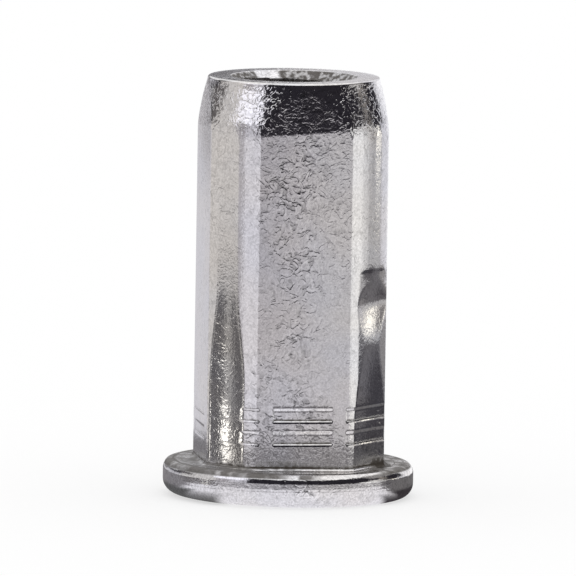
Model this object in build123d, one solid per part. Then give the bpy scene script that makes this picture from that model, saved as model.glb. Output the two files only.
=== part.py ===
from build123d import *
import os
from math import acos, degrees, radians, sqrt, tan

# Open-end blind rivet nut for an M8 screw, in millimetres.
# One cold-formed steel piece. It stands on its flange, with the nose up along +Z.
# The origin is the centre of the flange's outer face, and the flats face along X and Y.

# Flange
FLANGE_DIAMETER = 16.0
FLANGE_THICKNESS = 2.15
FLANGE_TOP_RADIUS = 0.3  # rolled edge beside the clamping face
FLANGE_FOOT_RADIUS = 0.9  # rolled edge beside the outer face
ROOT_RADIUS = 0.25  # fillet where the shank meets the clamping face

# Shank: a round bar pressed to four flats
LENGTH = 26.8  # from the flange's outer face to the rim of the nose
CORNER_DIAMETER = 12.8
ACROSS_FLATS = 11.5
FLAT_COUNT = 4

# Nose: swaged in to a round rim
NOSE_HEIGHT = 3.0
RIM_DIAMETER = 11.0
RIM_EDGE_RADIUS = 0.15
NOSE_BLEND_RADIUS = 4.0  # eases the corners into the nose
FLAT_TAPER = 4.5  # degrees that each flat leans in on the nose

# Flutes: a trough pressed down each corner, which guides the bulge as the nut is set
FLUTE_DEPTH = 0.25
FLUTE_RADIUS = 20.0  # across the trough, which is nearly flat
FLUTE_FULL_TOP = 9.6  # height above the outer face up to which the trough is at full depth
FLUTE_RUNOUT = 4.7  # height over which it then fades out

# Marks: rows of shallow die marks, one on each flat and one round each corner
MARK_DEPTH = 0.08
MARK_HEIGHT = 0.76
MARK_WIDTH = 3.8  # on a flat
MARK_CENTRES = (4.23, 5.70)  # heights of the rows above the outer face

# Thread and bore
THREAD_DIAMETER = 8.0
THREAD_PITCH = 1.25
THREAD_LENGTH = 11.2  # from the rim of the nose down
MOUTH_DIAMETER = 8.1  # of the countersink at the rim
BORE_DIAMETER = 9.2  # plain bore through the part that bulges
BORE_CHAMFER = 0.3
STEP_HALF_ANGLE = 60  # of the cone between the bore and the thread

# Derived sizes
FLANGE_RADIUS = FLANGE_DIAMETER / 2
CORNER_RADIUS = CORNER_DIAMETER / 2
RIM_RADIUS = RIM_DIAMETER / 2
APOTHEM = ACROSS_FLATS / 2
NOSE_BASE = LENGTH - NOSE_HEIGHT
MINOR_RADIUS = THREAD_DIAMETER / 2 - 1.0825 * THREAD_PITCH / 2  # ISO metric basic profile
BORE_RADIUS = BORE_DIAMETER / 2
MOUTH_RADIUS = MOUTH_DIAMETER / 2
FLUTE_FLOOR = CORNER_RADIUS - FLUTE_DEPTH  # distance of the trough's floor from the axis
FLUTE_CENTRE = FLUTE_FLOOR + FLUTE_RADIUS
FLUTE_REACH = CORNER_RADIUS + 1.5 * ROOT_RADIUS  # radius up to which a flute's cutter reaches
CUT_REACH = FLANGE_DIAMETER  # how far the cutters reach past the shank
STANDING = (Align.CENTER, Align.CENTER, Align.MIN)


def turned(points, rounded=()):
    """Solid of revolution of a (radius, height) outline, with some of its corners rounded."""
    face = Plane.XZ * make_face(Polyline(*points, close=True))
    for (radius, height), size in rounded:
        corner = face.vertices().sort_by_distance((radius, 0, height))[0]
        face = fillet(corner, size)
    return revolve(face, Axis.Z)


def blank():
    """Flange, round shank and swaged nose before the flats are pressed."""
    foot, top = (FLANGE_RADIUS, 0), (FLANGE_RADIUS, FLANGE_THICKNESS)
    root, bend = (CORNER_RADIUS, FLANGE_THICKNESS), (CORNER_RADIUS, NOSE_BASE)
    rim = (RIM_RADIUS, LENGTH)
    rounded = [
        (foot, FLANGE_FOOT_RADIUS),
        (top, FLANGE_TOP_RADIUS),
        (root, ROOT_RADIUS),
        (bend, NOSE_BLEND_RADIUS),
        (rim, RIM_EDGE_RADIUS),
    ]
    return turned([(0, 0), foot, top, root, bend, rim, (0, LENGTH)], rounded)


def flat_cutter():
    """What one flat removes on the +X side: upright along the shank, leaning in on the nose."""
    lean = NOSE_HEIGHT * tan(radians(FLAT_TAPER))
    root = (APOTHEM, 0, FLANGE_THICKNESS)
    side = Plane.XZ * make_face(Polyline(
        (APOTHEM, FLANGE_THICKNESS),
        (APOTHEM, NOSE_BASE),
        (APOTHEM - lean, LENGTH),
        (CUT_REACH, LENGTH),
        (CUT_REACH, FLANGE_THICKNESS),
        close=True,
    ))
    side = fillet(side.vertices().sort_by_distance(root)[0], ROOT_RADIUS)
    return extrude(side, CORNER_RADIUS, both=True)


def flute_circle():
    return Pos(FLUTE_CENTRE, 0) * Circle(FLUTE_RADIUS)


def flute_cutter():
    """Die for one flute, on the +X side: a straight trough that curves out at its upper end."""
    trough = extrude(Pos(0, 0, FLANGE_THICKNESS) * flute_circle(), FLUTE_FULL_TOP - FLANGE_THICKNESS)
    trough = fillet(trough.edges().group_by(Axis.Z)[0], ROOT_RADIUS)
    runout_radius = (FLUTE_RUNOUT**2 + FLUTE_DEPTH**2) / (2 * FLUTE_DEPTH)
    hinge = Axis((FLUTE_FLOOR + runout_radius, 0, FLUTE_FULL_TOP), (0, 1, 0))
    past_surface = acos(1 - 2 * FLUTE_DEPTH / runout_radius)
    section = flute_circle() & Circle(FLUTE_REACH)
    curve = revolve(Pos(0, 0, FLUTE_FULL_TOP) * section, hinge, degrees(past_surface))
    return (trough + curve) & Cylinder(FLUTE_REACH, LENGTH, align=STANDING)


def around_flats(shape, half_turns=0):
    """Copies of a shape made on the +X side: one for each flat, or one for each corner."""
    step = 360 / FLAT_COUNT
    return [Rot(0, 0, (i + half_turns / 2) * step) * shape for i in range(FLAT_COUNT)]


def shank_section():
    """Section of the shank where the flutes are at full depth."""
    beyond_flat = Pos(APOTHEM, 0) * Rectangle(CUT_REACH, CUT_REACH, align=(Align.MIN, Align.CENTER))
    return Circle(CORNER_RADIUS) - around_flats(beyond_flat) - around_flats(flute_circle(), 1)


def mark_cutters():
    """Thin bands that follow the shank's surface, over the middle of each flat and round each corner."""
    band = Circle(CUT_REACH) - offset(shank_section(), -MARK_DEPTH, kind=Kind.INTERSECTION)
    flat_window = Rectangle(CUT_REACH, MARK_WIDTH, align=(Align.MIN, Align.CENTER))
    flat_edge = sqrt(CORNER_RADIUS**2 - APOTHEM**2)
    corner_window = Pos(flat_edge, flat_edge) * Rectangle(
        CUT_REACH, CUT_REACH, align=(Align.MIN, Align.MIN))
    windows = Sketch() + around_flats(flat_window) + around_flats(corner_window)
    marks = band & windows
    return [extrude(Pos(0, 0, z - MARK_HEIGHT / 2) * marks, MARK_HEIGHT) for z in MARK_CENTRES]


def hole():
    """Through hole: chamfered plain bore, cone, thread at its minor diameter, countersunk mouth."""
    thread_start = LENGTH - THREAD_LENGTH
    cone = (BORE_RADIUS - MINOR_RADIUS) / tan(radians(STEP_HALF_ANGLE))
    return turned([
        (0, 0),
        (BORE_RADIUS + BORE_CHAMFER, 0),
        (BORE_RADIUS, BORE_CHAMFER),
        (BORE_RADIUS, thread_start - cone),
        (MINOR_RADIUS, thread_start),
        (MINOR_RADIUS, LENGTH - (MOUTH_RADIUS - MINOR_RADIUS)),
        (MOUTH_RADIUS, LENGTH),
        (0, LENGTH),
    ])


def rivet_nut():
    body = blank() - around_flats(flat_cutter()) - around_flats(flute_cutter(), 1)
    return body - mark_cutters() - hole()


os.makedirs("parts", exist_ok=True)
export_step(rivet_nut(), "parts/rivet_nut.step")
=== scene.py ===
from math import asin, atan2, cos, pi, radians, sin, sqrt, tan

import bpy
import numpy as np
from mathutils import Matrix, Vector


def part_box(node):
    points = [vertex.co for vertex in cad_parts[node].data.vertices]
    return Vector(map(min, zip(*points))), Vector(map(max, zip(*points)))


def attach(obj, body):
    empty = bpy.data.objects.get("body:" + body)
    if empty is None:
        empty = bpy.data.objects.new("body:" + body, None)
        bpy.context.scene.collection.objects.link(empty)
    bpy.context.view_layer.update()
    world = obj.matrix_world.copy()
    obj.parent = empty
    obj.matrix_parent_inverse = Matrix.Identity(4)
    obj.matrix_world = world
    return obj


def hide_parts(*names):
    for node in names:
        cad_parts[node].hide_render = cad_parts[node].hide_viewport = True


# The rivet nut as it looks: one mesh that stands in for the part's solid, its plating, and the studio that
# the metal mirrors. The nut stands on its flange, nose up along +Z, with a flat towards the camera on -Y.

MM = 0.001
MICRON = 0.001 * MM

# Sizes of the nut, in millimetres, as in the part's source
FLANGE_THICKNESS = 2.15
FLANGE_FOOT_RADIUS = 0.9
ROOT_RADIUS = 0.25
CORNER_RADIUS = 6.4
APOTHEM = 5.75
NOSE_HEIGHT = 3.0
RIM_RADIUS = 5.5
RIM_EDGE_RADIUS = 0.15
NOSE_BLEND_RADIUS = 4.0
FLAT_TAPER = 4.5
FLUTE_RADIUS = 20.0
MARK_DEPTH = 0.08
MARK_HEIGHT = 0.76
MARK_WIDTH = 3.8
MARK_CENTRES = (4.23, 5.70)
THREAD_RADIUS = 4.0
THREAD_PITCH = 1.25
THREAD_LENGTH = 11.2
MOUTH_RADIUS = 4.05
BORE_RADIUS = 4.6
BORE_CHAMFER = 0.3
STEP_HALF_ANGLE = 60

# Details that only the look needs, in millimetres
EDGE_SOFTNESS = 0.02  # how far a pressed edge is rounded off
FLAT_CROWN = 0.04  # how far the middle of a flat stands proud of its edges
FLAT_BEND_DROP = 0.15  # how much lower a flat bends in than the corners do
FLAT_BEND_SLANT = 0.06  # rise of that bend across the flat, a share
RIM_LIP = 0.08  # how far the nose is hollowed below the rim
RIM_LIP_POWER = 12  # how sharply the hollow ends at the rim
FLANGE_TILT = 0.5  # degrees by which the flange is out of square, down on the +X side
TILT_HEIGHT = 0.8  # above the clamping face, where half of the tilt has faded out
TILT_FADE = 1.2  # height over which it fades out
FLANGE_SHOULDER = (  # (inset, drop) of the rolled edge beside the clamping face, from the side up
    (0.0, 0.62), (0.005, 0.54), (0.02, 0.46), (0.045, 0.38), (0.08, 0.30), (0.12, 0.22), (0.165, 0.15),
    (0.21, 0.10), (0.26, 0.06), (0.32, 0.03), (0.38, 0.01), (0.45, 0.0),
)

# Die marks
STEP_WIDTH = 0.2  # width of a mark's sloping upper wall
END_WIDTH = 0.12  # width of the walls at its ends
SILL_WIDTH = 0.07  # width of its steep lower wall
MARKS_ON_FLATS = (1, 1, 0.3, 0.9)  # depth of the marks on each flat, a share, from the +X flat on
MARKS_ON_CORNERS = (1, 1, 0.45, 0.6)  # the same on each corner, from the +X +Y corner on
# Where each corner's marks are worn: the share of their depth that is left, and the start and end, in degrees
# from the middle of the flat before the corner
MARKS_WORN = ((1, 33, 57), (1, 33, 57), (0.08, 20, 53), (0.8, 33, 57))
WEAR_FADE = 4  # degrees over which the wear sets in

# Flutes. Each one as it was pressed, from the +X +Y corner on: how far it is off the corner's middle at its
# upper and its lower end, in degrees, and then (depth, height of its upper end, length of the slope there),
# as many as overlap
FLUTES = (
    (-1, -1, (0.18, 13.8, 6.4), (0.02, 18.0, 6.0)),
    (2, -2, (0.20, 14.2, 3.0), (0.20, 8.0, 4.0)),
    (-2.5, -3, (0.17, 13.8, 6.4), (0.02, 18.6, 7.0)),
    (4.5, 3.0, (0.32, 15.05, 2.4), (-0.17, 13.0, 3.0), (0.18, 10.4, 5.5)),
)
SWERVE_HEIGHT = 12.5  # half-way between a flute's lower place and its upper one
SWERVE_LENGTH = 4.0  # height over which it goes from one to the other
# The last flute starts with a shallow, straight-edged step: its middle and half width, in degrees from +X,
# and (depth, height of its upper end, length of the slope there), twice
SHELF = (319.5, 15.5, (0.06, 14.95, 0.3), (0.05, 14.95, 0.9))
# The third flute is hollower than the others: its corner, how far the hollow is off the flute's middle and
# its half width, in degrees, and its depth
HOLLOW = (2, -3, 20, 0.06)

# Dirt that has gathered, and painted shade, as shares of full cover
SILL_SHADE_HEIGHT = 0.11  # painted shade in the corner above the sill of each mark
FOOT_FILM = 0.15  # all round the shank, below the lower row of marks
FOOT_FILM_TOP = MARK_CENTRES[0] - 0.62 * MARK_HEIGHT
FOOT_DIRT_AND_SHADE = (  # dirt at the foot of the shank, at angles from +X; where it is highest, painted shade on the clamping face beside the shank too
    (0, 0.95), (40, 0.5), (70, 0.2), (238, 0.25), (250, 0.6), (262, 0.7), (275, 0.4), (290, 0.1),
    (305, 0.3), (325, 0.95), (360, 0.95),
)
FOOT_DIRT_HEIGHT = 0.7  # above the clamping face
ROOT_DIRT_AND_SHADE_WIDTH = 0.25  # dirt and painted shade, from the shank out, round its root
SHADE_POOL_WIDTH = 0.65  # painted shade, the same on the clamping face, where the foot is dirtiest
# painted shade inside the hole
HOLE_SHADE = 0.9
HOLE_SHADE_GAP = (96, 121)  # where the painted shade in the mouth of the hole is left out so the mirrored light shows, in degrees from +X
HOLE_SHADE_GAP_DEPTH = 0.75  # from the rim down

# Rows and columns of the mesh
COLUMN_STEP = 1.0  # degrees between columns
OUTER_FACE_RADII = (5.6, 6.4)  # rows on the flange's outer face, between the bore and the rounded foot
NOSE_BEND_REACH = 0.7  # how far above and below the bend of the nose the rows stay close

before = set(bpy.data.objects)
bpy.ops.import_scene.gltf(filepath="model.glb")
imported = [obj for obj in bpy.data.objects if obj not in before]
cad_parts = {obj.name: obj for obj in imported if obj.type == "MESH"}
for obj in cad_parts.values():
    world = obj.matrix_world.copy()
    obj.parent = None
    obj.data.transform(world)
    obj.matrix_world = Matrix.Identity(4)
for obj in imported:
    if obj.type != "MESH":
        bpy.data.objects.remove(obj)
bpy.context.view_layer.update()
low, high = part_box("rivet_nut")
FLANGE_RADIUS = (high.x - low.x) / 2 / MM
LENGTH = (high.z - low.z) / MM

NOSE_BASE = LENGTH - NOSE_HEIGHT
NOSE_SLOPE = (CORNER_RADIUS - RIM_RADIUS) / NOSE_HEIGHT
MINOR_RADIUS = THREAD_RADIUS - 1.0825 * THREAD_PITCH / 2
THREAD_START = LENGTH - THREAD_LENGTH
FLAT_HALF_ANGLE = asin(sqrt(CORNER_RADIUS**2 - APOTHEM**2) / CORNER_RADIUS)
QUARTER = pi / 2


# ---------------------------------------------------------------- shape of the nut

def spread(keys, step):
    """Values through all the keys, evenly spaced between each two, about a step apart."""
    values = []
    for start, end in zip(keys, keys[1:]):
        count = max(1, round((end - start) / step))
        values += [start + (end - start) * i / count for i in range(count)]
    return values + [keys[-1]]


def smooth_step(edge, width, value):
    """0 below the edge and 1 above it, with a soft change of the given width."""
    t = np.clip((value - edge) / width + 0.5, 0, 1)
    return t * t * (3 - 2 * t)


def inside(start, end, width, value):
    """1 between start and end and 0 outside, with a soft change at both."""
    return smooth_step(start, width, value) * (1 - smooth_step(end, width, value))


def soft_min(a, b, softness=EDGE_SOFTNESS):
    """The smaller of two values, rounded off where they cross."""
    gap = np.clip(0.5 + 0.5 * (b - a) / softness, 0, 1)
    return b + (a - b) * gap - softness * gap * (1 - gap)


def column_angles():
    """Angles of the mesh's columns: close together at the edges of flats, marks and flutes."""
    mark_end = atan2(MARK_WIDTH / 2, APOTHEM)
    step = END_WIDTH / APOTHEM
    keys = [0]
    for edge in (mark_end, FLAT_HALF_ANGLE):
        keys += [edge - step / 2, edge - step / 4, edge, edge + step / 4, edge + step / 2]
    half = spread(keys + [QUARTER / 2], radians(COLUMN_STEP))
    sector = half[:-1] + [QUARTER - angle for angle in reversed(half[1:])]
    return np.array([quarter * QUARTER + angle for quarter in range(4) for angle in sector])


def turned_radius(z):
    """Radius of the round shank and its nose before the flats are pressed."""
    bend = np.arctan(NOSE_SLOPE)
    start = NOSE_BASE - NOSE_BLEND_RADIUS * tan(bend / 2)
    into_arc = np.clip(z - start, 0, NOSE_BLEND_RADIUS * sin(bend))
    arc = CORNER_RADIUS - NOSE_BLEND_RADIUS + np.sqrt(NOSE_BLEND_RADIUS**2 - into_arc**2)
    up = np.clip((z - NOSE_BASE) / NOSE_HEIGHT, 0, 1)
    cone = CORNER_RADIUS - (z - NOSE_BASE) * NOSE_SLOPE - RIM_LIP * up * (1 - up**RIM_LIP_POWER)
    return np.where(z > start + NOSE_BLEND_RADIUS * sin(bend), cone, arc)


def pressed_depth(parts, z):
    """Depth at a height, summed up over the parts (depth, height of its upper end, length of its slope)."""
    return sum(depth * (1 - smooth_step(top - slope / 2, slope, z)) for depth, top, slope in parts)


def shelf_radius(angle, z):
    """Distance of the shallow step's floor from the axis; outside the step it lies beyond the shank."""
    middle, half_width, *parts = SHELF
    across = (np.degrees(angle) - middle) / half_width
    return CORNER_RADIUS - pressed_depth(parts, z) * np.clip(1 - across**2, -1, 1)


def corner_index(angle):
    """Number of the corner whose quarter an angle lies in, from the +X +Y corner on."""
    return np.floor(angle / QUARTER).astype(int) % 4


def flat_index(angle):
    """Number of the flat whose quarter an angle lies in, from the +X flat on."""
    return np.floor(angle / QUARTER + 0.5).astype(int) % 4


def angle_off_flat(angle):
    """Angle from the middle of the nearest flat."""
    return (angle + QUARTER / 2) % QUARTER - QUARTER / 2


def flute_radius(angle, z):
    """Distance of the flutes' troughs from the axis."""
    corner = corner_index(angle)
    depths = [pressed_depth(flute[2:], z) for flute in FLUTES]
    centre = CORNER_RADIUS - np.array(depths)[corner] + FLUTE_RADIUS
    upper, lower = (np.radians([flute[end] for flute in FLUTES])[corner] for end in (0, 1))
    swerve = lower + (upper - lower) * smooth_step(SWERVE_HEIGHT, SWERVE_LENGTH, z)
    off = angle % QUARTER - QUARTER / 2 - swerve
    half_chord = np.sqrt(np.clip(FLUTE_RADIUS**2 - (centre * np.sin(off))**2, 0, None))
    hollow_corner, shift, half_width, depth = HOLLOW
    across = np.clip((np.degrees(off) - shift) / half_width, -1, 1)
    hollow = (corner == hollow_corner) * depth * np.cos(across * pi / 2)**2
    return centre * np.cos(off) - half_chord - hollow


def mark_mask(angle, z):
    """1 inside the die marks and 0 outside, less where they are shallow or worn."""
    off_flat = np.abs(angle_off_flat(angle))
    corner = corner_index(angle)
    on_flat = 1 - smooth_step(MARK_WIDTH / 2, END_WIDTH, APOTHEM * np.tan(off_flat))
    on_flat = on_flat * np.array(MARKS_ON_FLATS)[flat_index(angle)]
    on_corner = smooth_step(CORNER_RADIUS * FLAT_HALF_ANGLE, END_WIDTH, CORNER_RADIUS * off_flat)
    share_left, start, end = np.array(MARKS_WORN).T[:, corner]
    worn = inside(start, end, WEAR_FADE, np.degrees(angle % QUARTER))
    on_corner = on_corner * (1 - (1 - share_left) * worn) * np.array(MARKS_ON_CORNERS)[corner]
    in_row = 0
    for centre in MARK_CENTRES:
        in_row = in_row + (smooth_step(centre - MARK_HEIGHT / 2, SILL_WIDTH, z)
                           - smooth_step(centre + MARK_HEIGHT / 2, STEP_WIDTH, z))
    return np.maximum(on_flat, on_corner) * in_row


def dirt_and_shade_mask(angle, radius, z):
    """Share of dirt and painted shade: painted shade above the sills of the marks, dirt at the foot of the
    shank, dirt and painted shade round its root, painted shade on the clamping face beside it, and painted
    shade in the hole.
    """
    bearing = np.degrees(angle)
    # painted shade in the corner above each mark's sill
    sill_shade = 0
    for centre in MARK_CENTRES:
        above = z - (centre - MARK_HEIGHT / 2 + SILL_WIDTH / 2)
        sill_shade = sill_shade + smooth_step(-0.01, 0.03, above) * (1 - smooth_step(SILL_SHADE_HEIGHT, 0.05, above))
    sill_shade = sill_shade * mark_mask(angle, MARK_CENTRES[0])
    amount = np.interp(bearing, *zip(*FOOT_DIRT_AND_SHADE))
    film = FOOT_FILM * (1 - smooth_step(FOOT_FILM_TOP, 0.25, z))
    foot = np.maximum(film, amount * (1 - smooth_step(FLANGE_THICKNESS + FOOT_DIRT_HEIGHT, 0.4, z)))
    outside = radius > BORE_RADIUS + BORE_CHAMFER
    on_shank = outside * (z > FLANGE_THICKNESS + ROOT_RADIUS / 2)

    # dirt and painted shade round the shank's root; painted shade in a pool on the clamping face beside it
    from_shank = radius - shank_radius(angle, FLANGE_THICKNESS + ROOT_RADIUS)
    up = z - FLANGE_THICKNESS
    root = 1 - smooth_step(ROOT_DIRT_AND_SHADE_WIDTH, 0.15, from_shank)
    root = root * smooth_step(0.12, 0.06, up) * (1 - smooth_step(0.28, 0.25, up))
    on_face = (up > -0.01) * (up < 0.3)
    pool_share = np.clip(2 * amount - 0.9, 0, 1)
    pool = pool_share * (1 - smooth_step(SHADE_POOL_WIDTH, 0.3, from_shank)) * on_face

    # painted shade in the hole, left out at part of its mouth
    shade_gap = inside(*HOLE_SHADE_GAP, 3, bearing) * (z > LENGTH - HOLE_SHADE_GAP_DEPTH)
    in_hole = HOLE_SHADE * (radius < MOUTH_RADIUS + 0.3) * (z < LENGTH - 0.03) * (1 - shade_gap)
    return np.clip(on_shank * (sill_shade + foot) + np.maximum(root, pool) * outside + in_hole, 0, 1)


def shank_radius(angle, z):
    """Distance of the shank's surface from the axis."""
    off_flat = angle_off_flat(angle)
    across = np.tan(off_flat) * APOTHEM / sqrt(CORNER_RADIUS**2 - APOTHEM**2)
    bend = NOSE_BASE - FLAT_BEND_DROP + FLAT_BEND_SLANT * APOTHEM * np.tan(off_flat)
    lean = np.clip(z - bend, 0, None) * tan(radians(FLAT_TAPER))
    crown = FLAT_CROWN * np.clip(1 - across**2, -1, 1)
    flat = (APOTHEM - FLAT_CROWN / 2 + crown - lean) / np.cos(off_flat)
    radius = soft_min(turned_radius(z), flat)
    radius = soft_min(radius, flute_radius(angle, z))
    on_shelf = pressed_depth(SHELF[2:], z) > 0
    radius = np.where(on_shelf, np.minimum(radius, shelf_radius(angle, z)), radius)
    return radius - MARK_DEPTH * mark_mask(angle, z)


def ring(angles, radius, height):
    """Points of one row of the mesh, in metres."""
    radius = np.broadcast_to(radius, angles.shape)
    height = np.broadcast_to(height, angles.shape)
    return np.stack([radius * np.cos(angles), radius * np.sin(angles), height], axis=1) * MM


def quarter_turn(count, first=0):
    """Angles from 0 to 90 degrees in equal steps, from the given step on."""
    return [radians(90) * i / count for i in range(first, count + 1)]


def flange_rows(angles):
    """From the flange's outer face round its edge and in to the foot of the shank."""
    rows = [ring(angles, radius, 0) for radius in OUTER_FACE_RADII]
    for t in quarter_turn(10):
        rows.append(ring(angles, FLANGE_RADIUS - FLANGE_FOOT_RADIUS * (1 - sin(t)),
                         FLANGE_FOOT_RADIUS * (1 - cos(t))))
    side_top = FLANGE_THICKNESS - FLANGE_SHOULDER[0][1]
    rows += [ring(angles, FLANGE_RADIUS, z) for z in spread([FLANGE_FOOT_RADIUS, side_top], 0.3)[1:-1]]
    rows += [ring(angles, FLANGE_RADIUS - inset, FLANGE_THICKNESS - drop) for inset, drop in FLANGE_SHOULDER]
    foot = shank_radius(angles, FLANGE_THICKNESS + ROOT_RADIUS) + ROOT_RADIUS
    face_edge = FLANGE_RADIUS - FLANGE_SHOULDER[-1][0]
    for share in (0.2, 0.4, 0.6, 0.75, 0.9):
        rows.append(ring(angles, face_edge + (foot - face_edge) * share, FLANGE_THICKNESS))
    for t in quarter_turn(5)[:-1]:
        rows.append(ring(angles, foot - ROOT_RADIUS * sin(t), FLANGE_THICKNESS + ROOT_RADIUS * (1 - cos(t))))
    return rows


def mark_heights():
    """Heights of the rows over the marks' upper walls, their sills and the painted shade above those."""
    heights = []
    for centre in MARK_CENTRES:
        top, sill = centre + MARK_HEIGHT / 2, centre - MARK_HEIGHT / 2
        heights += [top + STEP_WIDTH * share for share in (-0.5, -0.3, -0.1, 0.1, 0.3, 0.5)]
        heights += [sill + SILL_WIDTH * share for share in (-0.5, -0.2, 0.2)]
        heights += [sill + SILL_WIDTH / 2 + above for above in (0.02, 0.05, 0.09, 0.13, 0.18)]
    return sorted(heights)


def shank_heights():
    """Heights of the shank's rows: close together at the marks, at the shelf and at the bend of the nose."""
    flutes_top = max(part[1] for flute in FLUTES for part in flute[2:])
    shelf_top, shelf_slope = SHELF[2][1:]
    heights = spread([FLANGE_THICKNESS + ROOT_RADIUS] + mark_heights(), 0.16)
    for end, step in (
        (shelf_top - shelf_slope, 0.25),
        (shelf_top, 0.06),
        (flutes_top + 0.5, 0.30),
        (NOSE_BASE - NOSE_BEND_REACH, 0.6),
        (NOSE_BASE, 0.09),
        (NOSE_BASE + NOSE_BEND_REACH, 0.09),
        (LENGTH - RIM_EDGE_RADIUS, 0.2),
    ):
        heights += spread([heights[-1], end], step)[1:]
    return heights


def shank_rows(angles):
    """Up the shank and nose and over the rim's outer edge."""
    rows = [ring(angles, shank_radius(angles, z), z) for z in shank_heights()]
    top = shank_radius(angles, LENGTH - RIM_EDGE_RADIUS)
    for t in quarter_turn(5, 1):
        rows.append(ring(angles, top - RIM_EDGE_RADIUS * (1 - cos(t)),
                         LENGTH - RIM_EDGE_RADIUS * (1 - sin(t))))
    rows.append(ring(angles, top - 3 * RIM_EDGE_RADIUS, LENGTH))
    return rows


def thread_depth(turns):
    """Depth of the thread's groove, as a share, at a place counted in turns along the axis."""
    highlight_band, root = 1 / 4, 1 / 8
    flank = (1 - highlight_band - root) / 2
    from_root = np.abs((turns % 1) - 0.5)
    return np.clip((root / 2 + flank - from_root) / flank, 0, 1)


def hole_radius(angle, z):
    """Wall of the hole: countersink, helical thread, cone and plain bore, whichever is widest."""
    turns = z / THREAD_PITCH - angle / (2 * pi)
    thread = MINOR_RADIUS + (THREAD_RADIUS - MINOR_RADIUS) * thread_depth(turns)
    thread = np.where(z > THREAD_START - THREAD_PITCH, thread, MINOR_RADIUS)
    countersink = MOUTH_RADIUS - (LENGTH - z)
    cone = MINOR_RADIUS + (THREAD_START - z) * tan(radians(STEP_HALF_ANGLE))
    return np.maximum(np.maximum(thread, countersink), np.minimum(cone, BORE_RADIUS))


def hole_rows(angles):
    """From the mouth down through the thread and the bore to the flange's outer face."""
    rows = [ring(angles, MOUTH_RADIUS + margin, LENGTH) for margin in (0.5, 0.02)]
    cone_end = THREAD_START - (BORE_RADIUS - MINOR_RADIUS) / tan(radians(STEP_HALF_ANGLE))
    mouth = LENGTH - 0.8
    heights = spread([cone_end, mouth], THREAD_PITCH / 9)[:-1] + spread([mouth, LENGTH], 0.06)
    rows += [ring(angles, hole_radius(angles, z), z) for z in reversed(heights)]
    rows += [ring(angles, BORE_RADIUS, z) for z in reversed(spread([BORE_CHAMFER, cone_end], 2.5)[:-1])]
    return rows + [ring(angles, BORE_RADIUS + BORE_CHAMFER, 0)]


def bridge(first, second, count_a, count_b):
    """Faces between two rows; where one row has twice the columns, it steps down by triangles."""
    if count_a == count_b:
        return [(first + j, first + (j + 1) % count_a, second + (j + 1) % count_b, second + j)
                for j in range(count_a)]
    if count_a < count_b:
        return [face[::-1] for face in bridge(second, first, count_b, count_a)]
    faces = []
    for k in range(count_b):
        a, b, c = (first + (2 * k + i) % count_a for i in range(3))
        here, there = second + k, second + (k + 1) % count_b
        faces += [(a, b, here), (b, there, here), (b, c, there)]
    return faces


def nut_mesh():
    """One closed mesh, made of rows that run round the nut's section and back to the first."""
    fine = column_angles()
    coarse = fine[::2]
    rows = flange_rows(fine) + shank_rows(fine) + hole_rows(coarse)
    starts = np.cumsum([0] + [len(row) for row in rows])
    faces = []
    for i, row in enumerate(rows):
        following = (i + 1) % len(rows)
        faces += bridge(int(starts[i]), int(starts[following]), len(row), len(rows[following]))
    points = np.concatenate(rows)
    x, y, z = points.T
    # dirt and painted shade, as a share at each point
    dirt_and_shade = dirt_and_shade_mask(np.arctan2(y, x) % (2 * pi), np.hypot(x, y) / MM, z / MM)
    tilted = 1 - smooth_step((FLANGE_THICKNESS + TILT_HEIGHT) * MM, TILT_FADE * MM, z)
    points[:, 2] -= tilted * tan(radians(FLANGE_TILT)) * x
    mesh = bpy.data.meshes.new("rivet_nut_detail")
    mesh.from_pydata(points.tolist(), [], faces)
    mesh.attributes.new("dirt_and_shade", "FLOAT", "POINT").data.foreach_set("value", dirt_and_shade.astype(np.float32))
    mesh.validate()
    mesh.polygons.foreach_set("use_smooth", [True] * len(mesh.polygons))
    mesh.set_sharp_from_angle(angle=radians(40))
    mesh.update()
    return mesh


# ---------------------------------------------------------------- materials

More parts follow.
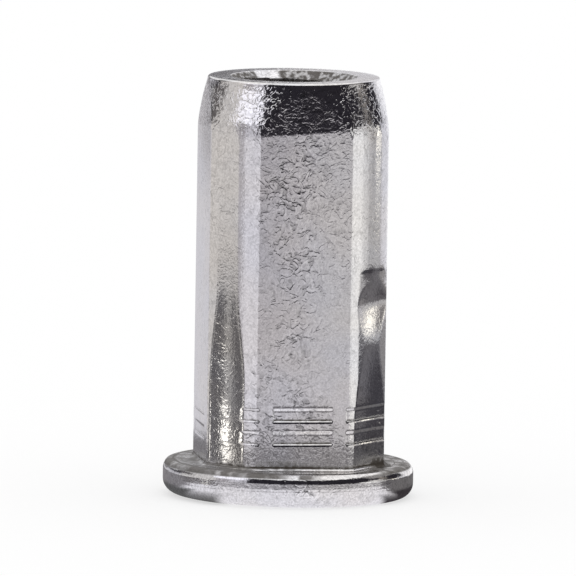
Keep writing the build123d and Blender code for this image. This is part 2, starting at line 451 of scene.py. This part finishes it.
class Nodes:
    """Short way to write a node tree: a method for each kind of node that the scene uses."""

    def __init__(self, tree):
        """Start with an empty tree."""
        self.tree = tree
        tree.nodes.clear()

    def add(self, kind, inputs=None, **settings):
        """New node with its settings, and its inputs set or linked by name."""
        node = self.tree.nodes.new(kind)
        for name, value in settings.items():
            setattr(node, name, value)
        for name, value in (inputs or {}).items():
            self.put(value, node.inputs[name])
        return node

    def put(self, value, socket):
        """Link a socket to another one, or set its constant value."""
        if isinstance(value, bpy.types.NodeSocket):
            self.tree.links.new(value, socket)
        else:
            socket.default_value = value

    def math(self, operation, *values):
        """Result of one math node."""
        node = self.add("ShaderNodeMath", operation=operation)
        for i, value in enumerate(values):
            self.put(value, node.inputs[i])
        return node.outputs[0]

    def chain(self, operation, values):
        """Result of an operation over any number of values, from the first one on."""
        result, *others = values
        for value in others:
            result = self.math(operation, result, value)
        return result

    def product(self, *values):
        """All the values multiplied."""
        return self.chain("MULTIPLY", values)

    def sum(self, *values):
        """All the values added up."""
        return self.chain("ADD", values)

    def largest(self, *values):
        """The largest of the values."""
        return self.chain("MAXIMUM", values)

    def distance(self, a, b):
        """How far a is from b, either way."""
        return self.math("ABSOLUTE", self.math("SUBTRACT", a, b))

    def length(self, a, b):
        """Length of the vector (a, b)."""
        return self.math("SQRT", self.sum(self.product(a, a), self.product(b, b)))

    def ramp(self, value, start, end, low=0.0, high=1.0):
        """Smooth change from low to high as the value goes from start to end."""
        node = self.add("ShaderNodeMapRange", {"Value": value, "From Min": start, "From Max": end,
                                               "To Min": low, "To Max": high},
                        interpolation_type="SMOOTHSTEP")
        return node.outputs["Result"]

    def mix(self, share, a, b):
        """Colour a where the share is 0 and b where it is 1."""
        node = self.add("ShaderNodeMix", data_type="RGBA")
        self.put(share, node.inputs[0])
        self.put(a, node.inputs[6])
        self.put(b, node.inputs[7])
        return node.outputs[2]

    def noise(self, place, scale, detail=2.0, **inputs):
        """Noise about 0.5; further inputs are named as the node names them, in lower case."""
        values = {"Vector": place, "Scale": scale, "Detail": detail}
        values.update({name.replace("_", " ").title(): value for name, value in inputs.items()})
        return self.add("ShaderNodeTexNoise", values).outputs["Fac"]


# Scales of the noises, in cells per metre
GRAIN = 7500
COARSE_GRAIN = 3300
PORES = 8200
SPECKS = 4300
TURNING_MARKS = 6000
DRAW_LINES = 4000
CREASES, CREASE_BREAKS = 1300, 2300
SWELL = 2400
WRINKLED_PATCHES = 300
TINT_PATCHES = 180
DIRT_AND_SHADE_SPOTS = 2600
STAIN_RINGS, STAIN_FILM, STAIN_EDGE, STAIN_CORNER = 2600, 900, 700, 420

# Heights of the plating's relief, in micrometres
GRAIN_HEIGHT = 3.8
NOSE_GRAIN_HEIGHT = 4.0
FLANGE_GRAIN_HEIGHT = 5.0
SPECK_HEIGHT = 12.0
STROKE_HEIGHT = 7.0
CREASE_HEIGHT = -4.8
SWELL_HEIGHT = 9.0
DRAW_LINE_HEIGHT = 2.5
TURNING_HEIGHT = 8.0

PLATING_TINTS = (0.75, 0.745, 0.77, 1), (0.78, 0.755, 0.745, 1)
# colour of the dirt and of the painted shade
DIRT_AND_SHADE_COLOUR = (0.055, 0.044, 0.034, 1)
PAINTED_CREASE_SHADE = 0.35  # painted shade: how much darker the creases are
PAINTED_HIGHLIGHT_STRENGTH = 0.22  # painted highlight: how much brighter the band beside the creases is


def broken_creases(n, place, layer):
    """Short curved strokes, contour lines of a noise broken up by another one, and a band beside them."""
    moved = n.add("ShaderNodeMapping", {"Vector": place, "Location": (0.1 * layer, 0, 0)}).outputs[0]
    off_line = n.distance(n.noise(moved, CREASES, 1, distortion=0.9), 0.5)
    kept = n.ramp(n.noise(moved, CREASE_BREAKS, 1), 0.42, 0.56)
    line = n.product(n.ramp(off_line, 0.0, 0.075, 1, 0), kept)
    beside = n.product(n.ramp(off_line, 0.05, 0.09), n.ramp(off_line, 0.09, 0.15, 1, 0), kept)
    return line, beside


def wrinkles(n, place, x):
    """Creases, a band beside them that takes a painted highlight, and the swell between, thickest left of the
    front flat's middle.
    """
    patchy = n.ramp(n.noise(place, WRINKLED_PATCHES, 2), 0.38, 0.60, 0.5, 1)
    wrinkled = n.product(patchy, n.ramp(n.distance(x, -1.1 * MM), 0.3 * MM, 3.0 * MM, 1, 0.45))
    lines, highlight_bands = zip(*(broken_creases(n, place, layer) for layer in (1, 2)))
    crease = n.product(n.sum(*lines), wrinkled)
    highlight_band = n.product(n.largest(*highlight_bands), wrinkled)
    swell = n.product(n.noise(place, SWELL, 2, distortion=0.8), wrinkled)
    return crease, highlight_band, swell


def nose_roughness(n, place, x, z, on_nose):
    """Raised specks and strokes in the nose's plating, fewest in the middle of its front."""
    below_rim = n.ramp(z, (LENGTH - 0.30) * MM, (LENGTH - 0.15) * MM, 1, 0)
    rough = n.product(on_nose, below_rim, n.ramp(n.distance(x, 0.3 * MM), 0.8 * MM, 2.3 * MM, 0.22, 1))
    specks = n.product(n.ramp(n.noise(place, SPECKS, 1), 0.60, 0.70), rough)
    strokes = n.product(n.sum(*(broken_creases(n, place, layer)[0] for layer in (3, 4))), rough)
    return specks, strokes


def dirt_and_shade_share(n, place, x, z, radius, round_flange, on_flange):
    """The mesh's own dirt and painted shade, in spots, and the stains on the flange's clamping face and
    shoulder.
    """
    dirt_and_shade = n.add("ShaderNodeAttribute", attribute_name="dirt_and_shade").outputs["Fac"]
    spots = n.ramp(n.noise(place, DIRT_AND_SHADE_SPOTS, 3), 0.36, 0.56, 0.4, 1)
    dirt_and_shade = n.product(dirt_and_shade, n.largest(spots, n.ramp(dirt_and_shade, 0.85, 1.0)))

    on_face = n.product(on_flange, n.ramp(z, 1.85 * MM, 1.95 * MM))
    # rings that the turning left and a film over them, at the face's left and right
    aside = n.distance(x, 1.0 * MM)
    rings = n.ramp(n.noise(round_flange, STAIN_RINGS, 2), 0.42, 0.58)
    film = n.product(n.ramp(n.noise(place, STAIN_FILM, 3), 0.35, 0.62, 0.45, 1),
                     n.ramp(aside, 3.5 * MM, 4.5 * MM), n.ramp(x, 3.5 * MM, 5.6 * MM, 0.9, 1.0))
    sides = n.product(on_face, n.largest(rings, film), n.ramp(aside, 2.0 * MM, 4.0 * MM, 0.0, 0.9))
    # the face's outer part, left of the middle
    outer = n.product(on_face, n.ramp(radius, 7.0 * MM, 7.25 * MM), n.ramp(x, -2.2 * MM, -0.4 * MM, 0.85, 0),
                      n.ramp(n.noise(place, STAIN_EDGE, 3), 0.40, 0.55, 0.6, 1))
    # a broken line along the shoulder, left of the middle
    on_shoulder = n.product(on_flange, n.ramp(z, 1.7 * MM, 1.8 * MM), n.ramp(radius, 7.66 * MM, 7.72 * MM),
                            n.ramp(radius, 7.88 * MM, 7.94 * MM, 1, 0))
    shoulder = n.product(on_shoulder, n.ramp(n.noise(place, STAIN_CORNER, 3), 0.48, 0.60, 0.0, 0.8),
                         n.ramp(x, 0.0, 1.0 * MM, 1, 0.0))
    return n.largest(dirt_and_shade, sides, outer, shoulder)


def plated_steel():
    """Bright zinc plating with grain, wrinkles and dirt, with painted shade in the creases, above the sills,
    round the root and in the hole, and a painted highlight beside the creases.
    """
    material = bpy.data.materials.new("plated_steel")
    material.use_nodes = True
    n = Nodes(material.node_tree)
    place = n.add("ShaderNodeTexCoord").outputs["Object"]
    x, y, z = n.add("ShaderNodeSeparateXYZ", {"Vector": place}).outputs
    radius = n.length(x, y)
    round_flange = n.add("ShaderNodeCombineXYZ", {"X": radius, "Y": z}).outputs[0]
    drawn = n.add("ShaderNodeMapping", {"Vector": place, "Scale": (1, 1, 0.02)}).outputs[0]
    on_nose = n.ramp(z, (NOSE_BASE - 0.6) * MM, (NOSE_BASE + 0.2) * MM)
    on_flange = n.ramp(z, (FLANGE_THICKNESS + 0.3) * MM, (FLANGE_THICKNESS + 0.15) * MM)

    coarse_grain = n.noise(place, COARSE_GRAIN, 2, roughness=0.6)
    crease, highlight_band, swell = wrinkles(n, place, x)
    specks, strokes = nose_roughness(n, place, x, z, on_nose)
    height = n.sum(*(n.product(part, amount) for part, amount in (
        (n.noise(place, GRAIN, 2), GRAIN_HEIGHT),
        (specks, SPECK_HEIGHT),
        (strokes, STROKE_HEIGHT),
        (n.product(coarse_grain, on_nose), NOSE_GRAIN_HEIGHT),
        (n.product(coarse_grain, on_flange), FLANGE_GRAIN_HEIGHT),
        (crease, CREASE_HEIGHT),
        (swell, SWELL_HEIGHT),
        (n.noise(drawn, DRAW_LINES, 2), DRAW_LINE_HEIGHT),
        (n.product(n.noise(round_flange, TURNING_MARKS, 2), on_flange), TURNING_HEIGHT),
    )))
    bump = n.add("ShaderNodeBump", {"Height": height, "Distance": MICRON, "Strength": 1.0})

    # a slight tint in patches, painted shade in the creases and a painted highlight beside them, and darker
    # in the pores of the grain
    tint = n.mix(n.ramp(n.noise(place, TINT_PATCHES, 2), 0.35, 0.65), *PLATING_TINTS)
    painted_crease_darkening = n.math("SUBTRACT", 1.0, n.product(crease, PAINTED_CREASE_SHADE))
    # painted highlight on the band beside the creases
    painted_highlight = n.sum(1.0, n.product(highlight_band, PAINTED_HIGHLIGHT_STRENGTH))
    shade = n.product(n.ramp(n.noise(place, PORES, 1), 0.30, 0.70, 0.90, 1.10), painted_crease_darkening, painted_highlight)
    clean = n.add("ShaderNodeVectorMath", {0: tint, "Scale": shade}, operation="SCALE").outputs[0]

    # dirt, stains and painted shade
    dirt_and_shade = dirt_and_shade_share(n, place, x, z, radius, round_flange, on_flange)
    shader = n.add("ShaderNodeBsdfPrincipled", {
        "Base Color": n.mix(dirt_and_shade, clean, DIRT_AND_SHADE_COLOUR),
        "Metallic": n.ramp(dirt_and_shade, 0, 1, 1, 0.2),
        "Roughness": n.ramp(dirt_and_shade, 0, 1, 0.10, 0.5),
        "Specular IOR Level": 0.2,
        "Normal": bump.outputs[0],
    })
    out = n.add("ShaderNodeOutputMaterial")
    n.put(shader.outputs[0], out.inputs[0])
    return material


# ---------------------------------------------------------------- studio

CAMERA_AZIMUTH = radians(-8.9)
CAMERA_ELEVATION = radians(6.35)
CAMERA_DISTANCE = 0.84
CAMERA_ROLL = radians(0.89)
VIEW_WIDTH = 0.03673  # width of the picture at the nut
AIM_RIGHT, AIM_UP = -0.000185, -0.00019  # from the nut's middle, as seen in the picture
SENSOR_WIDTH = 36


def make_camera():
    """Camera with a long lens, a little to the left of the front flat, above it and rolled."""
    data = bpy.data.cameras.new("camera")
    data.sensor_width = SENSOR_WIDTH
    data.lens = SENSOR_WIDTH * CAMERA_DISTANCE / VIEW_WIDTH
    data.clip_start, data.clip_end = 0.05, 20
    camera = bpy.data.objects.new("camera", data)
    bpy.context.scene.collection.objects.link(camera)
    turn = Matrix.Rotation(CAMERA_AZIMUTH, 4, "Z") @ Matrix.Rotation(pi / 2 - CAMERA_ELEVATION, 4, "X")
    right, up, back = (turn.to_3x3() @ Vector(axis) for axis in ((1, 0, 0), (0, 1, 0), (0, 0, 1)))
    aim = (low + high) / 2 + right * AIM_RIGHT + up * AIM_UP
    camera.matrix_world = (Matrix.Translation(aim + back * CAMERA_DISTANCE) @ turn
                           @ Matrix.Rotation(CAMERA_ROLL, 4, "Z"))
    bpy.context.scene.camera = camera


# What the metal mirrors: patches of a light tent round the nut, each laid over the ones before it, as
# (azimuths, elevations, softness, colour). Angles are in degrees, seen from the nut's middle. Azimuth 0
# is towards the camera and grows to the right of the picture. Below the horizon the tent is the table.
TENT = [
    # the table, and what stands on it in front of the nut
    ((-200, 200), (-100, -0.8), 1.6, (0.53, 0.515, 0.54)),
    ((17.8, 70), (-100, -0.8), 3, (0.63, 0.62, 0.63)),  # lighter to the right
    ((-34, 70), (-2.4, -0.5), 1.2, (0.16, 0.15, 0.17)),  # its far edge
    ((-34, 70), (-17, -9.5), 4, (0.64, 0.626, 0.654)),
    ((-200, 200), (-32, -21), 5, (0.165, 0.158, 0.168)),  # where the nut's flange darkens it
    ((-78, 78), (-100, -37), 14, (0.90, 0.89, 0.92)),  # white sheet under the nut
    # to the left, from behind the nut to the front: walls, a softbox and its dim lower part
    ((-200, -112), (-22, 4), 8, (0.68, 0.67, 0.70)),
    ((-115, -66), (-22, 40), 4, (0.69, 0.67, 0.65)),
    ((-130, -102), (10, 19), 6, (0.14, 0.13, 0.13)),  # gap between them
    ((-162, -150), (-3.4, 8), 2, (0.25, 0.24, 0.25)),
    ((-57, -34), (-22, -1), 3, (0.80, 0.79, 0.83)),  # softbox, mirrored in the table
    ((-57, -40), (-2, 20), 3, (0.62, 0.61, 0.65)),
    ((-70, -57), (-2, 20), 3, (0.42, 0.40, 0.42)),
    ((-76, -41), (20.5, 40), 3, (1.2, 1.2, 1.28)),
    # low on the left, mirrored in the left flute: shade, a lighter streak in it and a small lamp
    ((-90, -62), (-30, -6.5), 3, (0.13, 0.125, 0.13)),
    ((-80.5, -74.5), (-17, -6.5), 2, (0.40, 0.39, 0.38)),
    ((-75.4, -69.6), (-28, -15), 1.4, (2.3, 2.25, 2.1)),
    # to the right, from the front to behind the nut: strip light, its edges and the backdrop
    ((70, 90), (-22, 9), 3, (0.97, 0.97, 0.96)),
    ((82, 99), (6, 15), 3, (0.70, 0.69, 0.68)),
    ((88, 97), (-22, 2), 3, (0.74, 0.74, 0.74)),
    ((97, 120), (-22, -2), 4, (0.50, 0.50, 0.51)),
    ((96, 110), (-3.4, 8), 2, (0.66, 0.645, 0.63)),
    ((122, 200), (-28, 7), 6, (0.78, 0.78, 0.82)),
    ((140, 200), (-28, 30), 6, (1.1, 1.1, 1.12)),
    # low on the right, mirrored in the right flute: the nut's own shadow and a small lamp above it
    ((90, 132), (-75, -8), 4, (0.05, 0.05, 0.06)),
    ((103, 110.5), (-2.6, 3), 2.4, (0.2, 0.19, 0.19)),
    ((98, 132), (-22, -13), 3, (0.06, 0.057, 0.065)),
    ((98, 132), (-13, -7.2), 2, (0.12, 0.115, 0.125)),
    ((110, 122), (-19, -7.2), 3, (0.165, 0.16, 0.17)),
    ((112.0, 118.5), (-3.2, 5), 2.4, (1.6, 1.55, 1.4)),
    ((119, 131), (-12, -6.2), 2, (0.3, 0.29, 0.29)),
    # the floor below and behind the nut, with the nut's painted shadow dark at both sides of the white sheet
    ((120, 200), (-90, -28), 6, (0.10, 0.10, 0.12)),
    ((74, 200), (-70, -26), 6, (0.17, 0.165, 0.17)),
    ((54, 120), (-100, -57), 8, (0.05, 0.045, 0.05)),
    ((68, 120), (-100, -52), 8, (0.05, 0.045, 0.05)),
    ((-200, -78), (-90, -26), 14, (0.26, 0.25, 0.26)),
    ((-130, -36), (-100, -57), 10, (0.12, 0.12, 0.12)),
    ((-130, -60), (-100, -53), 10, (0.12, 0.12, 0.12)),
    ((-92, -76), (-38, -22), 3, (0.14, 0.13, 0.13)),
    ((-92, -57), (-38, -28), 3, (0.16, 0.15, 0.15)),
    # walls behind the nut, gaps beside the strip light and the light overhead
    ((-230, -128), (10, 100), 6, (0.9, 0.9, 0.9)),
    ((133, 230), (5, 100), 6, (0.9, 0.9, 0.93)),
    ((98, 107), (12, 24), 3, (0.28, 0.26, 0.24)),
    ((88, 120), (24, 38), 4, (0.30, 0.29, 0.29)),
    ((168, 205), (4, 12), 3, (0.55, 0.535, 0.55)),
    ((-200, 200), (40, 100), 6, (1.1, 1.1, 1.1)),
]
ROOM = (0.023, 0.021, 0.027)  # where there is no patch
TENT_RADIUS = 1.5
TENT_COLUMNS, TENT_ROWS = 64, 24
TABLE_RADII = (0.003, 0.03, 0.5)  # rings of points from the tent's middle out to its dome
TENT_GAP = 0.05 * MM  # between the floor and the tent's table
FLOOR_SIZE = 8
FLOOR_GREY, FLOOR_GLOW = 0.4, 0.6  # together, in the white world's light, they make the floor white


def make_world():
    """Plain white surroundings."""
    world = bpy.data.worlds.new("white studio")
    bpy.context.scene.world = world
    world.use_nodes = True
    n = Nodes(world.node_tree)
    background = n.add("ShaderNodeBackground", {"Color": (1, 1, 1, 1), "Strength": 1.0})
    out = n.add("ShaderNodeOutputWorld")
    n.put(background.outputs[0], out.inputs[0])


def tent_material():
    """Glow in the colours of the tent's patches, laid out by direction from the nut's middle."""
    material = bpy.data.materials.new("light tent")
    material.use_nodes = True
    n = Nodes(material.node_tree)
    position = n.add("ShaderNodeNewGeometry").outputs["Position"]
    middle = tuple((low + high) / 2)
    place = n.add("ShaderNodeVectorMath", {0: position, 1: middle}, operation="SUBTRACT").outputs[0]
    turned = n.add("ShaderNodeMapping", {"Vector": place, "Rotation": (0, 0, -CAMERA_AZIMUTH)}).outputs[0]
    x, y, z = n.add("ShaderNodeSeparateXYZ", {"Vector": turned}).outputs
    azimuth = n.math("DEGREES", n.math("ARCTAN2", x, n.math("MULTIPLY", y, -1.0)))
    elevation = n.math("DEGREES", n.math("ARCTAN2", z, n.length(x, y)))
    colour = (*ROOM, 1)
    for (left, right), (bottom, top), softness, patch in TENT:
        s = softness / 2
        mask = n.product(
            n.ramp(azimuth, left - s, left + s), n.ramp(azimuth, right - s, right + s, 1, 0),
            n.ramp(elevation, bottom - s, bottom + s), n.ramp(elevation, top - s, top + s, 1, 0))
        colour = n.mix(mask, colour, (*patch, 1))
    glow = n.add("ShaderNodeEmission", {"Color": colour, "Strength": 1.0})
    out = n.add("ShaderNodeOutputMaterial")
    n.put(glow.outputs[0], out.inputs[0])
    return material


def make_tent(ground):
    """Dome on a disc, close above the floor. Only reflections see it."""
    points = [(0, 0, ground)]
    rings = [(radius, ground) for radius in TABLE_RADII]
    rings += [(TENT_RADIUS * cos(t), TENT_RADIUS * sin(t)) for t in quarter_turn(TENT_ROWS)[:-1]]
    turns = [2 * pi * j / TENT_COLUMNS for j in range(TENT_COLUMNS)]
    for radius, height in rings:
        points += [(radius * cos(turn), radius * sin(turn), height) for turn in turns]
    points.append((0, 0, TENT_RADIUS))
    faces = []
    for i in range(len(rings) - 1):
        faces += bridge(1 + i * TENT_COLUMNS, 1 + (i + 1) * TENT_COLUMNS, TENT_COLUMNS, TENT_COLUMNS)
    last = 1 + (len(rings) - 1) * TENT_COLUMNS
    for j in range(TENT_COLUMNS):
        following = (j + 1) % TENT_COLUMNS
        faces.append((0, 1 + following, 1 + j))
        faces.append((last + j, last + following, len(points) - 1))
    mesh = bpy.data.meshes.new("light_tent")
    mesh.from_pydata(points, [], faces)
    mesh.materials.append(tent_material())
    tent = bpy.data.objects.new("light_tent", mesh)
    bpy.context.scene.collection.objects.link(tent)
    tent.visible_camera = tent.visible_diffuse = tent.visible_transmission = tent.visible_shadow = False


def make_floor(ground):
    """Floor that looks white and keeps the nut's shadow."""
    bpy.ops.mesh.primitive_plane_add(size=FLOOR_SIZE, location=(0, 0, ground))
    floor = bpy.context.object
    floor.name = "floor"
    material = bpy.data.materials.new("floor")
    material.use_nodes = True
    n = Nodes(material.node_tree)
    path = n.add("ShaderNodeLightPath").outputs
    seen = n.largest(path["Is Camera Ray"], path["Is Glossy Ray"], path["Is Transmission Ray"])
    diffuse = n.add("ShaderNodeBsdfDiffuse", {"Color": (FLOOR_GREY, FLOOR_GREY, FLOOR_GREY, 1)})
    glow = n.add("ShaderNodeEmission", {"Color": (1, 1, 1, 1), "Strength": n.product(seen, FLOOR_GLOW)})
    both = n.add("ShaderNodeAddShader")
    n.put(diffuse.outputs[0], both.inputs[0])
    n.put(glow.outputs[0], both.inputs[1])
    out = n.add("ShaderNodeOutputMaterial")
    n.put(both.outputs[0], out.inputs[0])
    floor.data.materials.append(material)


def make_nut():
    """The nut's mesh and plating, shown in place of the part's solid."""
    nut = bpy.data.objects.new("rivet_nut_detail", nut_mesh())
    bpy.context.scene.collection.objects.link(nut)
    nut.data.materials.append(plated_steel())
    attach(nut, "root")
    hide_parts("rivet_nut")
    return nut


nut = make_nut()
ground = min(vertex.co.z for vertex in nut.data.vertices)
make_floor(ground)
make_tent(ground + TENT_GAP)
make_world()
make_camera()
bpy.context.scene.view_settings.view_transform = "Standard"
